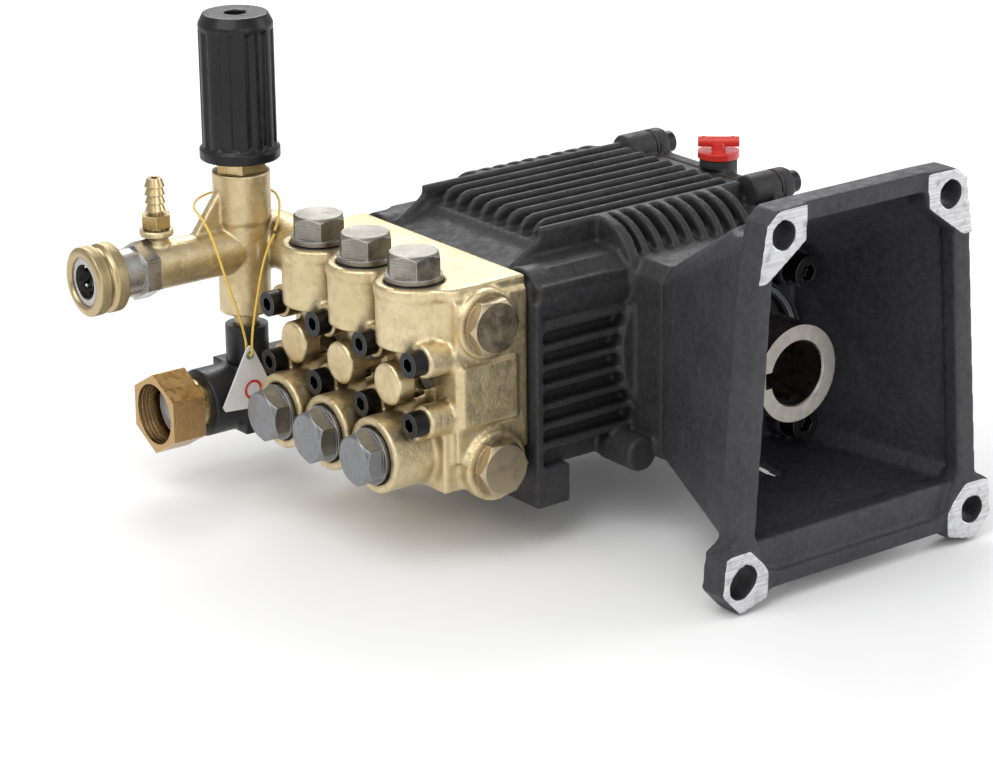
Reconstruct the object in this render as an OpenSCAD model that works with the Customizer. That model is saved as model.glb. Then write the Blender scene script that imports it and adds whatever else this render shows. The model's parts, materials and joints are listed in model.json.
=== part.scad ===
// Three-plunger pressure washer pump for a 1 inch horizontal engine shaft.
// Millimetres. The drive shaft turns about Y, the plungers run along X and +Z is up.
// The origin is on the shaft axis, in the plane of the engine flange's machined pads.

/* [Drive] */
// Bore of the hollow drive shaft
drive_bore = 25.4; // [22:0.1:25.4]
// Outside diameter of the hollow drive shaft
shaft_od = 38.5; // [37:0.5:38.5]
// Crank throw, which is half of the plunger stroke
throw = 4.2; // [2:0.1:4.2]
// Distance from the flange pads back to the mouth of the drive bore
shaft_recess = 37; // [30:1:45]

/* [Engine flange] */
// Bolt circle of the four flange holes
bolt_circle = 165.1; // [164:0.1:166]
// Diameter of the flange holes
flange_hole_d = 10.5; // [8:0.1:10.5]
// Depth of the flange rim and its ears
flange_depth = 12; // [10:1:16]

/* [Wet end] */
// Spacing of the three cylinders
pitch = 31.5; // [31.2:0.1:31.8]
// Diameter of the ceramic plungers
plunger_d = 15; // [12:0.5:15]
// Across flats of the hexagon caps and plugs
cap_af = 19; // [17:0.5:20]

/* [Unloader and inlet] */
// Outside diameter of the adjusting knob's skirt
knob_d = 32.4; // [30:0.2:33]
// Height of the adjusting knob
knob_h = 59; // [56:1:60]
// Number of finger flutes round the knob
knob_flutes = 14; // [8:1:16]
// Across flats of the swivel nut on the inlet
nut_af = 29; // [28:0.5:30]
// Thread crest diameter inside the swivel nut
nut_bore = 25; // [24:0.5:25]
// Bore of the quick coupler on the outlet
coupler_bore = 14.2; // [12:0.1:14.4]

/* [Finish] */
// Facets used on every round surface
$fn = 64; // [48:16:96]

/* [Hidden] */

// Cylinder stations along Y, numbered from the engine side
mid_y = 157;
cyl_y = [mid_y - pitch, mid_y, mid_y + pitch];
crank_phase = [90, 210, 330];
screw_y = [mid_y - 1.5 * pitch, mid_y - 0.5 * pitch, mid_y + 0.5 * pitch, mid_y + 1.5 * pitch];
screw_z = 12;

// Crankcase outline
case_front = -78;
case_back = 58;
case_near = 98;
case_far = 2 * mid_y - case_near;
fin_depth = 6;
wall_near = case_near + fin_depth;
wall_far = case_far - fin_depth;
case_floor = -41;
case_top = 39;
deck_z = 43;
deck_near = 118;
deck_far = 2 * mid_y - deck_near;
fin_top = 50;
foot_z = -55;
seat_y = 80;
side_fin_pitch = 7.9;
arch_pitch = 7.5;
arch_r = 21.8;
shoulder_r = 12.15;

// Crank train
journal_r = 16;
web_r = 11;
journal_w = 13;
running = 0.06;
rod_len = 47;
big_end_r = 20.5;
eye_r = 4.8;
pin_r = 2.5;
pin_half = 9.4;
head_r = 13.5;
head_front = -17.5;
head_back = 13.5;
guide_rod_r = 6;
rod_back = -36;
plunger_len = 25;
slack = 0.4;
bearing_y = 98.6;
bearing_w = 13;
bearing_r = 34;
journal_bearing_r = 20;
far_bearing_y = 200.5;
far_bearing_r = 26;
far_journal_r = 12.5;
seal_r = 28;
spigot_r = 29.6;
bell_bolt_x = 22;
cap_x = 63.2;
cap_z = 48;
bell_bolt_z = 31;

// Wet end
barrel_r = 15;
barrel_x = -114.5;
boss_face = -128.6;
low_z = -27;
low_face = -135.5;
deck_top = 39;
man_front = -117;
man_near = 103;
man_far = 2 * mid_y - man_near;
man_floor = -42;
outlet_x = -98.5;
outlet_z = 24;
inlet_x = -95;
inlet_z = -33.5;
plug_face_y = 95;
boss_y = 100.5;
recess_r = 12;
recess_end = -100;
cap_h = 9;
lift = 2;

// Unloader and inlet, on one vertical axis past the far end of the manifold
unl_x = -114.5;
unl_y = 243;
hex_z = 56;
gland_top = 94;
plate_z = 87;
knob_z = 61.2;
tube_r = 9.5;
tube_z = 23.5;
tube_end = -159.8;
barb_x = -155;
coupler_face = -189.6;
elbow_z = -38;
elbow_face = -139;
nut_face = -160;
nut_len = 15;

// Hand-picked route of the tag's string
string_d = 1;
string_route = [
  [-109, 228.6, 31], [-113, 227.6, 26], [-116.5, 227, 18], [-119, 226.6, 9], [-121.4, 226.1, 0],
  [-123, 225.8, -7], [-123.6, 225.6, -13], [-123.6, 225.7, -14.9], [-123.6, 226.2, -15.9],
  [-123.6, 226.9, -16.5], [-123.6, 227.6, -16.7], [-123.6, 228.3, -16.5], [-123.6, 229, -15.9],
  [-123.6, 229.5, -14.9], [-123.6, 229.6, -13], [-124.2, 229.6, -9], [-126, 229.6, -2],
  [-128.4, 229.8, 6], [-130.8, 230.2, 14], [-133, 230.9, 22], [-134.8, 232.2, 30],
  [-135.8, 235, 36], [-136, 239, 39.6], [-135.4, 243, 41.2], [-134.4, 247, 41.8],
  [-132.2, 251, 42.2], [-128.6, 255, 42.8], [-124, 257.6, 43.2], [-118, 258.8, 43.6],
  [-111, 258, 44], [-105, 255, 44.4], [-101, 250, 44.6], [-99.6, 244, 44.2],
  [-100.4, 238, 42.6], [-103, 233.4, 39.6], [-106.2, 230.2, 35.4], [-108.6, 228.8, 32.6]
];

// ---------- Helpers ----------

function mirrored(points) = [for (i = [len(points) - 1 : -1 : 0]) [-points[i][0], points[i][1]]];
function head_x(i) = -rod_len + throw * cos(crank_phase[i]);
function unit(v) = v / norm(v);

module box(x0, x1, y0, y1, z0, z1) {
  translate([x0, y0, z0]) cube([x1 - x0, y1 - y0, z1 - z0]);
}

module xcyl(r, x0, x1, y = 0, z = 0) {
  translate([x0, y, z]) rotate([0, 90, 0]) cylinder(r = r, h = x1 - x0);
}

module ycyl(r, y0, y1, x = 0, z = 0) {
  translate([x, y1, z]) rotate([90, 0, 0]) cylinder(r = r, h = y1 - y0);
}

module zcyl(r, z0, z1, x = 0, y = 0) {
  translate([x, y, z0]) cylinder(r = r, h = z1 - z0);
}

module zcone(r0, r1, z0, z1, x = 0, y = 0) {
  translate([x, y, z0]) cylinder(r1 = r0, r2 = r1, h = z1 - z0);
}

module xcone(r0, r1, x0, x1, y = 0, z = 0) {
  translate([x0, y, z]) rotate([0, 90, 0]) cylinder(r1 = r0, r2 = r1, h = x1 - x0);
}

// Hexagonal prism of a given width across flats, along Z from the origin
module hex(af, h) {
  cylinder(r = af / sqrt(3), h = h, $fn = 6);
}

// Plate in the X-Z plane with a given outline, from y0 to y1
module xz_plate(points, y0, y1) {
  translate([0, y1, 0]) rotate([90, 0, 0]) linear_extrude(height = y1 - y0) polygon(points);
}

// Plate in the Y-Z plane with a given outline, from x0 to x1
module yz_plate(points, x0, x1) {
  translate([x0, 0, 0]) rotate([90, 0, 90]) linear_extrude(height = x1 - x0) polygon(points);
}

module ring(r_out, r_in, h) {
  difference() {
    cylinder(r = r_out, h = h);
    translate([0, 0, -1]) cylinder(r = r_in, h = h + 2);
  }
}

module xring(r_out, r_in, x0, x1, y, z) {
  translate([x0, y, z]) rotate([0, 90, 0]) ring(r_out, r_in, x1 - x0);
}

module yring(r_out, r_in, y0, y1, x = 0, z = 0) {
  translate([x, y1, z]) rotate([90, 0, 0]) ring(r_out, r_in, y1 - y0);
}

// O-ring about Z, centred on the origin
module o_ring(r, wire) {
  rotate_extrude() translate([r, 0]) circle(r = wire, $fn = 24);
}

// Socket head screw: seat at the origin, shank towards -Z, head towards +Z
module socket_screw(shank_r, len, head_r, head_h, socket_af) {
  difference() {
    union() {
      translate([0, 0, -len]) cylinder(r = shank_r, h = len + 1);
      cylinder(r = head_r, h = head_h);
    }
    translate([0, 0, head_h * 0.45]) hex(socket_af, head_h);
  }
}

// ---------- Engine flange ----------

upper_ear = [[-30.2, 81.5], [-44, 81], [-49.8, 76.3], [-53.4, 54.8], [-49, 54.8], [-30.2, 67.5]];
lower_ear = [[-55, -47.3], [-67, -47.5], [-68.6, -61.8], [-60, -71.2], [-46.5, -67.8], [-46, -56.5]];
rim_outer_left = [
  [-30, 81.5], [-44, 81], [-49.8, 76.3], [-53.4, 54.8], [-61, -44], [-67, -47.5],
  [-68.6, -61.8], [-60, -71.2], [-46.5, -67.8], [-43, -65]
];
rim_inner_left = [
  [-29.5, 74], [-30.2, 67.5], [-45, 56], [-51.5, -42], [-46, -56.5], [-40, -59]
];
bell_front = [[-45, 79], [-51, 66], [-60, -44], [-54, -51]];
bell_rear = [[-26, 37], [-31, 31], [-31, -38], [-26, -43]];
cavity_front = [[-40, 74], [-46, 62], [-55, -42], [-50, -46.5]];
cavity_rear = [[-23.5, 34], [-28.5, 27], [-28, -34], [-23, -39]];
lower_hole = bolt_circle / 2 * cos(45);
upper_hole_x = bolt_circle / 2 * sin(30);
upper_hole_z = bolt_circle / 2 * cos(30);
slot_half = 1.5;

module bell_loft(front, y0, rear, y1) {
  hull() {
    xz_plate(concat(front, mirrored(front)), y0, y0 + 0.5);
    xz_plate(concat(rear, mirrored(rear)), y1 - 0.5, y1);
  }
}

module bell_housing() {
  color("#3a3b3e") difference() {
    union() {
      difference() {
        union() {
          bell_loft(bell_front, flange_depth - 3, bell_rear, seat_y);
          xz_plate(concat(rim_outer_left, mirrored(rim_outer_left)), 1.2, flange_depth);
        }
        bell_loft(cavity_front, flange_depth - 3.5, cavity_rear, 72);
        xz_plate(concat(rim_inner_left, mirrored(rim_inner_left)), 0, flange_depth);
      }
      box(-50, 50, 4, flange_depth - 1, -60, -46);
      for (s = [-1, 1]) scale_x(s) {
        xz_plate(upper_ear, 0, flange_depth);
        xz_plate(lower_ear, 0, flange_depth);
      }
      for (x = [-bell_bolt_x, bell_bolt_x], z = [-bell_bolt_z, bell_bolt_z]) ycyl(7.5, 64, 73, x, z);
    }
    for (x = [-upper_hole_x, upper_hole_x])
      ycyl(flange_hole_d / 2, -1, flange_depth + 20, x, upper_hole_z);
    ycyl(flange_hole_d / 2, -1, flange_depth + 20, lower_hole, -lower_hole);
    translate([-lower_hole, 0, -lower_hole]) rotate([0, 45, 0]) {
      for (s = [-slot_half, slot_half]) ycyl(flange_hole_d / 2, -1, flange_depth + 20, 0, s);
      box(-flange_hole_d / 2, flange_hole_d / 2, -1, flange_depth + 20, -slot_half, slot_half);
    }
    ycyl(spigot_r + 0.2, 60, seat_y + 1);
    for (x = [-bell_bolt_x, bell_bolt_x], z = [-bell_bolt_z, bell_bolt_z])
      ycyl(4.5, 60, seat_y + 1, x, z);
    translate([-2, 53, -60]) {
      box(-3.6, 3.6, -5.5, 5.5, 0, 24);
      for (y = [-5.5, 5.5]) zcyl(3.6, 0, 24, 0, y);
    }
  }
}

// Mirrors its children across the Y-Z plane when s is -1
module scale_x(s) {
  mirror([s < 0 ? 1 : 0, 0, 0]) children();
}

// ---------- Crankcase ----------

cover_screw_at = [
  [deck_near, 45], [deck_far, 45], [case_near + 3, 6], [case_far - 3, 6], [112, -36], [202, -36]
];
far_screw_angles = [45, 135, 225, 315];
front_profile = [
  [case_front, case_floor], [case_front, 34], [-62, 40], [-58, deck_z], [case_back, deck_z],
  [case_back, case_floor]
];

module side_fins(x0, x1, y0, y1) {
  for (k = [0 : 8])
    box(x0, x1, y0, y1, -31.5 + side_fin_pitch * k, -29 + side_fin_pitch * k);
}

// Quarter-round cooling arch between the deck and the side wall
module arch(x, w, y, s) {
  intersection() {
    xcyl(arch_r, x, x + w, y, 28);
    box(x - 1, x + w + 1, min(y - s, y + s * 30), min(case_far, max(y - s, y + s * 30)), 28, 60);
  }
}

module deck_fin(y) {
  xz_plate([
    [-57, 42], [-56, 46], [-53, 49], [-49, fin_top], [40, fin_top], [43, 46], [44, 42]
  ], y - 1.3, y + 1.3);
}

module case_shell() {
  // main box, with the sloped roof over the crosshead guides
  intersection() {
    xz_plate(front_profile, wall_near, wall_far);
    union() {
      box(-90, 90, wall_near, wall_far, case_floor, case_top);
      box(-90, 90, deck_near, deck_far, 30, deck_z);
    }
  }
  // full-width front plate and its shoulders
  box(case_front, case_front + 4, case_near, case_far, foot_z, 28);
  for (y = [110, 204]) {
    xcyl(shoulder_r, case_front + 2, -30, y, 27);
    xcyl(shoulder_r, -34, case_back, y == 110 ? wall_near + 12 : wall_far - 12, 27);
  }
  // cooling fins on both sides
  side_fins(case_front + 3, -28, case_near, wall_near + 1);
  side_fins(34, case_back, case_near, wall_near + 1);
  side_fins(case_front + 3, case_back, wall_far - 1, case_far);
  for (k = [0 : 8]) {
    arch(-32 + arch_pitch * k, k == 0 ? 5 : 3.4, deck_near, -1);
    arch(-32 + arch_pitch * k, k == 0 ? 5 : 3.4, deck_far, 1);
  }
  // deck walls and deck fins
  for (y = [deck_near, deck_far - 3]) {
    box(-60, 42, y, y + 3, 34, fin_top);
    xz_plate([[-60, 34], [-60, fin_top - 4], [-72, 38], [-74, 34]], y, y + 3);
  }
  for (k = [1 : 8]) deck_fin(deck_near + 1.5 + k * (deck_far - deck_near - 3) / 9);
  // foot bar and the rear flange with its screw bosses
  box(case_front, -62, case_near, case_far, foot_z, case_floor + 2);
  box(case_back - 5, case_back, wall_near - 2, wall_far + 2, case_floor - 2, deck_z);
  for (p = cover_screw_at) xcyl(7, 44, case_back, p[0], p[1]);
  // seat for the engine flange and the snout that carries the shaft seal
  xz_plate(concat(bell_rear, mirrored(bell_rear)), seat_y, wall_near + 1);
  ycyl(spigot_r, 67, seat_y + 1);
  for (x = [-37, 37]) ycyl(7, seat_y + 4, wall_near + 1, x, -38);
  // housings of the two crank bearings
  ycyl(37.5, 96, wall_near + 1);
  // pad for the far bearing cover
  ycyl(36, wall_far - 1, case_far);
}

module case_cavity() {
  box(-27, case_back + 1, 114.5, 199.5, -33, 36);
  for (i = [0 : 2]) {
    xcyl(head_r + 0.05, -69.2, -20, cyl_y[i], 0);
    xcyl(guide_rod_r + 0.4, case_front - 1, -60, cyl_y[i], 0);
    xcyl(11, case_front - 1, -72.6, cyl_y[i], 0);
  }
  for (y = screw_y, z = [-screw_z, screw_z]) xcyl(3, case_front - 1, -62, y, z);
  ycyl(bearing_r, bearing_y, bearing_y + bearing_w + 0.1);
  ycyl(24, 100, 116);
  ycyl(journal_bearing_r + 1.5, 60, 116);
  ycyl(seal_r, 60, 77.5);
  ycyl(far_bearing_r, 190, case_far + 1);
  for (x = [-bell_bolt_x, bell_bolt_x], z = [-bell_bolt_z, bell_bolt_z])
    ycyl(4, seat_y - 2, seat_y + 15, x, z);
  for (p = cover_screw_at) xcyl(2.5, 48, case_back + 1, p[0], p[1]);
  for (a = far_screw_angles)
    ycyl(2.5, case_far - 11, case_far + 1, 30.5 * cos(a), 30.5 * sin(a));
  for (y = [112, 202]) zcyl(4, foot_z - 1, foot_z + 12, -70, y);
}

module crankcase() {
  color("#3f4043") difference() {
    case_shell();
    case_cavity();
  }
}

cover_outline = [
  [wall_near - 1, case_floor], [wall_near - 1, 30], [deck_near, deck_z], [deck_far, deck_z],
  [wall_far + 1, 30], [wall_far + 1, case_floor]
];

module cover_plate(x0, x1) {
  difference() {
    union() {
      yz_plate(cover_outline, x0, x1);
      for (p = cover_screw_at) xcyl(7, x0, x1, p[0], p[1]);
    }
    for (p = cover_screw_at) xcyl(3, x0 - 1, x1 + 1, p[0], p[1]);
  }
}

module rear_cover_gasket() {
  color("#6b5a44") difference() {
    cover_plate(case_back, case_back + 0.8);
    box(case_back - 1, case_back + 2, 114.5, 199.5, -33, 36);
  }
}

module rear_cover() {
  x0 = case_back + 0.8;
  color("#3f4043") difference() {
    union() {
      cover_plate(x0, x0 + 6);
      box(x0, x0 + 11, 122, 192, -31, 33);
      for (k = [0 : 6]) box(x0 + 2, x0 + 14, 126 + 10 * k, 128.4 + 10 * k, -24, 26);
      xcyl(17, x0, x0 + 14, mid_y, 0);
      xcyl(9, x0, x0 + 14, mid_y, -25);
      zcyl(7.8, deck_z + 0.4, cap_z, cap_x, mid_y);
      intersection() {
        zcyl(7.8, 24, deck_z + 1, cap_x, mid_y);
        box(x0, x0 + 20, 140, 175, 20, 60);
      }
    }
    zcyl(4.2, 26, cap_z + 1, cap_x, mid_y);
    box(x0 - 1, x0 + 6, 127, 187, -28, 29);
    xcyl(12, x0 - 1, x0 + 20, mid_y, 0);
    xcyl(5, x0 - 1, x0 + 20, mid_y, -25);
  }
}

module far_bearing_cover() {
  color("#46474a") difference() {
    union() {
      ycyl(36, case_far, case_far + 5);
      ycyl(far_bearing_r - 0.1, case_far - 0.4, case_far + 1);
      ycyl(22, case_far, case_far + 7);
    }
    ycyl(far_bearing_r - 4, case_far - 2, case_far + 3);
    for (a = far_screw_angles)
      ycyl(3, case_far - 2, case_far + 8, 30.5 * cos(a), 30.5 * sin(a));
  }
}

module cover_screws() {
  color("#8d9094") {
    for (p = cover_screw_at)
      translate([case_back + 6.8, p[0], p[1]]) rotate([0, 90, 0]) socket_screw(2.5, 15, 4.5, 5, 4);
    for (a = far_screw_angles) translate([30.5 * cos(a), case_far + 5, 30.5 * sin(a)])
      rotate([-90, 0, 0]) socket_screw(2.5, 14, 4.5, 5, 4);
  }
}

module bell_screws() {
  color("#2a2a2c") for (x = [-bell_bolt_x, bell_bolt_x], z = [-bell_bolt_z, bell_bolt_z])
    translate([x, 64, z]) rotate([90, 0, 0]) socket_screw(4, 29, 6.5, 8, 6);
}

module sight_glass() {
  x0 = case_back + 14.8;
  color("#c9b458") {
    xcyl(12, x0 - 8, x0 + 0.5, mid_y, 0);
    xring(14.5, 10, x0, x0 + 3, mid_y, 0);
  }
}

module drain_plug() {
  x0 = case_back + 14.8;
  color("#a8863c") {
    xcyl(5, x0 - 10, x0, mid_y, -25);
    translate([x0, mid_y, -25]) rotate([0, 90, 0]) hex(13, 6);
  }
}

module oil_cap() {
  color("#d6281e") {
    zcyl(8.6, cap_z, cap_z + 2.6, cap_x, mid_y);
    zcyl(4.1, 32, cap_z + 1, cap_x, mid_y);
    zcyl(1.3, -18, 33, cap_x, mid_y);
    zcyl(3, cap_z + 2, cap_z + 6, cap_x, mid_y);
    translate([cap_x, mid_y, 0]) rotate([0, 0, -40]) difference() {
      xcyl(2.2, -8.5, 8.5, 0, cap_z + 6.4);
      zcyl(0.9, cap_z + 4, cap_z + 10, -6, 0);
      zcyl(0.9, cap_z + 4, cap_z + 10, 6, 0);
    }
  }
}

// ---------- Crank train ----------

module crankshaft() {
  color("#b9b3aa") difference() {
    union() {
      ycyl(shaft_od / 2, shaft_recess, 98);
      ycyl(journal_bearing_r, 97, bearing_y + bearing_w);
      ycyl(22.5, bearing_y + bearing_w, cyl_y[0] - journal_w / 2);
      for (i = [0 : 2]) ycyl(journal_r, cyl_y[i] - journal_w / 2, cyl_y[i] + journal_w / 2,
                             throw * cos(crank_phase[i]), throw * sin(crank_phase[i]));
      ycyl(web_r, cyl_y[0], far_bearing_y - 3);
      ycyl(15, cyl_y[2] + journal_w / 2, far_bearing_y);
      ycyl(far_journal_r, far_bearing_y - 1, far_bearing_y + 15);
    }
    ycyl(drive_bore / 2, shaft_recess - 1, 104);
    translate([0, shaft_recess + 0.6, 0]) rotate([90, 0, 0])
      cylinder(r1 = drive_bore / 2, r2 = drive_bore / 2 + 0.7, h = 0.7);
    box(-drive_bore / 2 - 3.2, 0, shaft_recess - 1, 104, -3.175, 3.175);
  }
}

// Ball bearing about Y with separate races and balls
module ball_bearing(r_out, r_in, y0, w, balls) {
  r_mid = (r_out + r_in) / 2;
  ball_r = (r_out - r_in) * 0.28;
  color("#c8cacc") {
    difference() {
      yring(r_out, r_mid + ball_r * 0.55, y0, y0 + w);
      translate([0, y0 + w / 2, 0]) rotate([90, 0, 0]) o_ring(r_mid, ball_r + 0.05);
    }
    difference() {
      yring(r_mid - ball_r * 0.55, r_in, y0, y0 + w);
      translate([0, y0 + w / 2, 0]) rotate([90, 0, 0]) o_ring(r_mid, ball_r + 0.05);
    }
    for (k = [1 : balls]) rotate([0, 360 / balls * k, 0]) translate([r_mid, y0 + w / 2, 0])
      sphere(r = ball_r, $fn = 32);
  }
}

module drive_bearing() {
  ball_bearing(bearing_r, journal_bearing_r + running, bearing_y, bearing_w, 9);
}

module far_bearing() {
  ball_bearing(far_bearing_r, far_journal_r + running, far_bearing_y, 15, 9);
}

module shaft_seal() {
  color("#1c1c1e") difference() {
    ycyl(seal_r, 70, 77.5);
    ycyl(shaft_od / 2 + 0.08, 69, 78);
    difference() {
      ycyl(seal_r - 2.5, 69, 74);
      ycyl(shaft_od / 2 + 2.5, 68, 75);
    }
  }
}

module seal_retaining_ring() {
  color("#cfd2d4") difference() {
    yring(seal_r, seal_r - 2, 68.4, 69.8);
    box(-3, 3, 68, 70, -40, 0);
  }
}

module conrod(i) {
  ox = throw * cos(crank_phase[i]);
  oz = throw * sin(crank_phase[i]);
  color("#a9acae") translate([ox, cyl_y[i], oz]) difference() {
    union() {
      ycyl(big_end_r, -6.2, 6.2);
      box(-rod_len, -10, -4, 4, -3.6, 3.6);
      ycyl(eye_r, -4, 4, -rod_len);
      for (z = [-1, 1]) box(-5, 5, -6.2, 6.2, z * 18 - 2, z * 18 + 2);
    }
    ycyl(journal_r + running, -8, 8);
    ycyl(pin_r, -8, 8, -rod_len);
  }
}

module wrist_pin(i) {
  color("#d7d9da") translate([throw * cos(crank_phase[i]) - rod_len, cyl_y[i], throw * sin(crank_phase[i])])
    ycyl(pin_r, -pin_half, pin_half);
}

module crosshead(i) {
  play = 2 * throw + slack;
  rise = throw + slack;
  color("#9b9ea1") translate([head_x(i), cyl_y[i], 0]) difference() {
    union() {
      xcyl(head_r, head_front, head_back);
      xcyl(guide_rod_r, rod_back, head_front + 1);
      xcyl(3, rod_back - plunger_len, rod_back + 1);
    }
    box(-eye_r - play, head_back + 1, -4.6, 4.6, -eye_r - rise, eye_r + rise);
    box(-pin_r - play, pin_r + play, -pin_half - 0.5, pin_half + 0.5, -pin_r - rise, pin_r + rise);
  }
}

module plunger(i) {
  x = head_x(i) + rod_back;
  color("#efece2") xring(plunger_d / 2, 3, x - plunger_len, x, cyl_y[i], 0);
}

module crosshead_oil_seals() {
  color("#26262a") for (y = cyl_y) xring(11, guide_rod_r + 0.06, -77.6, -72.6, y, 0);
}

// ---------- Manifold ----------

module manifold_solid() {
  // upper block with the three discharge barrels
  box(-110, case_front, man_near + 2, man_far - 2, 10, deck_top - 2);
  box(-116, -100, 111, 203, 10, deck_top - 2);
  for (y = [113.3, 200.7]) zcyl(8, 10, deck_top - 2, -108.2, y);
  // raised deck under the discharge caps
  box(-109, case_front, man_near + 1.4, man_far - 1.4, deck_top - 4.4, deck_top);
  box(-121, -100, 116, 198, deck_top - 4.4, deck_top);
  for (y = cyl_y) zcyl(15.6, deck_top - 4.4, deck_top, barrel_x, y);
  for (y = [114.6, 199.4]) zcyl(10, deck_top - 4.4, deck_top, -108.6, y);
  box(-112, case_front, man_near, man_far, 6, deck_top - 5);
  for (y = cyl_y) zcyl(barrel_r, 14, deck_top, barrel_x, y);
  // middle web behind the screw windows, with the screw towers and plunger bosses
  box(-112, case_front, man_near, man_far, -30, 12);
  for (y = cyl_y) {
    xcyl(8.5, boss_face, -110, y, 0);
    zcyl(8.1, -20, 16, barrel_x, y);
  }
  for (y = screw_y, z = [-screw_z, screw_z]) xcyl(6.6, -123.6, -110, y, z);
  // lower block with the three suction barrels
  box(-116, case_front, man_near + 3, man_far - 3, man_floor, -14);
  for (y = cyl_y) xcyl(barrel_r, low_face, -108, y, low_z);
  // gallery bosses on both ends and the raised panel between them
  for (y = [[boss_y, man_near + 4], [man_far - 4, 2 * mid_y - boss_y]]) {
    ycyl(13.5, y[0], y[1], outlet_x, outlet_z);
    ycyl(14, y[0], y[1], inlet_x, inlet_z);
    box(-110, -84, y[0] + 1, y[1], -16, 8);
  }
}

module manifold_passages() {
  for (y = cyl_y) {
    xcyl(recess_r, recess_end, case_front + 1, y, 0);
    xcyl(8.2, -121, recess_end + 1, y, 0);
    zcyl(6, low_z, 20, barrel_x, y);
    zcyl(9, 14, deck_top + 1, barrel_x, y);
    zcyl(11.2, deck_top - 2.2, deck_top + 1, barrel_x, y);
    xcyl(9, low_face - 1, -104, y, low_z);
    xcyl(11.2, low_face - 1, low_face + 3.2, y, low_z);
    xcyl(5, -106, inlet_x, y, low_z);
    xcyl(3.5, barrel_x, outlet_x, y, outlet_z);
  }
  ycyl(6, boss_y - 1, man_far + 8, outlet_x, outlet_z);
  ycyl(7, boss_y - 1, man_far + 8, inlet_x, inlet_z);
  for (y = screw_y, z = [-screw_z, screw_z]) xcyl(3.2, -130, case_front + 1, y, z);
}

module manifold() {
  color("#c9a45c") difference() {
    manifold_solid();
    manifold_passages();
  }
}

module manifold_screws() {
  color("#232325") for (y = screw_y, z = [-screw_z, screw_z])
    translate([-123.6, y, z]) rotate([0, -90, 0]) socket_screw(3, 60, 5, 6, 5);
}

module plunger_packings() {
  color("#2b2b30") for (y = cyl_y) {
    xring(recess_r, plunger_d / 2 + 0.06, recess_end, recess_end + 4, y, 0);
    xring(recess_r, plunger_d / 2 + 0.06, recess_end + 8, recess_end + 12, y, 0);
  }
}

module packing_retainers() {
  color("#c9a45c") for (y = cyl_y) {
    xring(recess_r, plunger_d / 2 + 0.2, recess_end + 4, recess_end + 8, y, 0);
    xring(recess_r, plunger_d / 2 + 0.4, recess_end + 12, case_front, y, 0);
  }
}

// Hexagon cap: face towards +Z, seat at the origin, hollow plug towards -Z
module hex_cap(plug_r, plug_len) {
  intersection() {
    hex(cap_af, cap_h);
    translate([0, 0, -0.5]) cylinder(r1 = cap_af / sqrt(3) + cap_h, r2 = cap_af / 2 - 0.4, h = cap_h + 0.5);
  }
  difference() {
    translate([0, 0, -plug_len]) cylinder(r = plug_r, h = plug_len + 1);
    translate([0, 0, -plug_len - 1]) cylinder(r = plug_r - 3, h = 5);
  }
}

module valve_caps() {
  color("#8f8a83") for (y = cyl_y) {
    translate([barrel_x, y, deck_top + 2.2]) hex_cap(8.9, 11);
    zcyl(11.1, deck_top + 0.4, deck_top + 2.4, barrel_x, y);
    translate([low_face, y, low_z]) rotate([0, -90, 0]) {
      hex_cap(8.9, 12);
      translate([0, 0, -0.7]) cylinder(r = 11.1, h = 2.2);
    }
  }
}

module cap_o_rings() {
  color("#18181a") for (y = cyl_y) {
    translate([barrel_x, y, deck_top - 0.9]) o_ring(10.1, 0.95);
    translate([low_face + 1.8, y, low_z]) rotate([0, 90, 0]) o_ring(10.1, 0.95);
  }
}

module valve_seats() {
  color("#b9bcbe") for (y = cyl_y) {
    translate([barrel_x, y, 14]) ring(8.95, 5, 4.5);
    xring(8.95, 5, -108.5, -104, y, low_z);
  }
}

// Compression spring about Z from the origin, drawn as a stack of wire rings joined by a rib
module valve_spring(r, wire, h, turns) {
  for (k = [0 : turns - 1]) translate([0, 0, wire + (h - 2 * wire) * k / (turns - 1)]) o_ring(r, wire);
  for (a = [0, 180]) rotate([0, 0, a]) translate([r, 0, wire]) cylinder(r = wire * 0.7, h = h - 2 * wire, $fn = 16);
}

module valve_springs() {
  color("#d0d2d4") for (y = cyl_y) {
    translate([barrel_x, y, 23.8]) valve_spring(4.4, 0.5, 10.3, 6);
    translate([-113.8, y, low_z]) rotate([0, -90, 0]) valve_spring(4.4, 0.5, 13.6, 8);
  }
}

// Valve poppet about Z: disc at the origin, guide stem towards -Z
module poppet() {
  color("#dadcdd") {
    cylinder(r = 6.6, h = 1.6);
    translate([0, 0, 1]) cylinder(r = 3.4, h = 2);
    translate([0, 0, -3.6]) cylinder(r = 2.2, h = 4);
  }
}

module suction_poppet(i) {
  translate([-108.6, cyl_y[i], low_z]) rotate([0, -90, 0]) poppet();
}

module discharge_poppet(i) {
  translate([barrel_x, cyl_y[i], 18.6]) poppet();
}

module gallery_plugs() {
  color("#c29a52") for (p = [[outlet_x, outlet_z], [inlet_x, inlet_z]])
    translate([p[0], boss_y, p[1]]) rotate([90, 0, 0]) {
      difference() {
        hex(cap_af + 1, boss_y - plug_face_y);
        translate([0, 0, boss_y - plug_face_y]) difference() {
          translate([0, 0, -1.2]) cylinder(r = 20, h = 3);
          translate([0, 0, -1.3]) cylinder(r1 = (cap_af + 1) / 2 + 1.2, r2 = (cap_af + 1) / 2 - 0.5, h = 1.5);
        }
      }
      cylinder(r = 11, h = 0.8);
      translate([0, 0, -8]) cylinder(r = p[1] > 0 ? 5.9 : 6.9, h = 9);
    }
}

// ---------- Unloader and outlet ----------

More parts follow.
